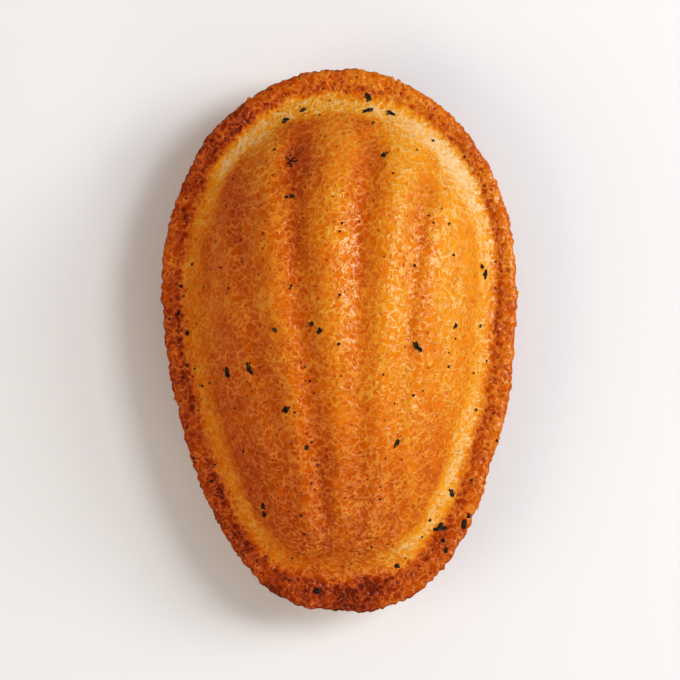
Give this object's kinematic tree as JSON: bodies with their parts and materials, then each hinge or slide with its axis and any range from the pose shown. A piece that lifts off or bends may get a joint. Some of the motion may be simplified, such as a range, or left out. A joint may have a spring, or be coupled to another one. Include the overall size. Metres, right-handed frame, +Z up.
{
  "type": "madeleine cake",
  "caption": "Madeleine sponge cake in the shape of a shell, with a ribbed dome, a plain band, a browned rim and a humped back, lying with its ribs up.",
  "frame": {"origin": "under the middle of the outline, on the surface that the cake rests on", "axes": "+Z up, out of the ribbed shell face; +Y along the cake, towards its wide end; +X to the right seen from above"},
  "size_m": [0.0505, 0.077, 0.0255],
  "materials": {
    "crust": "matte",
    "tea_leaf": "matte"
  },
  "bodies": {
    "root": {"madeleine": "crust"}
  },
  "joints": []
}
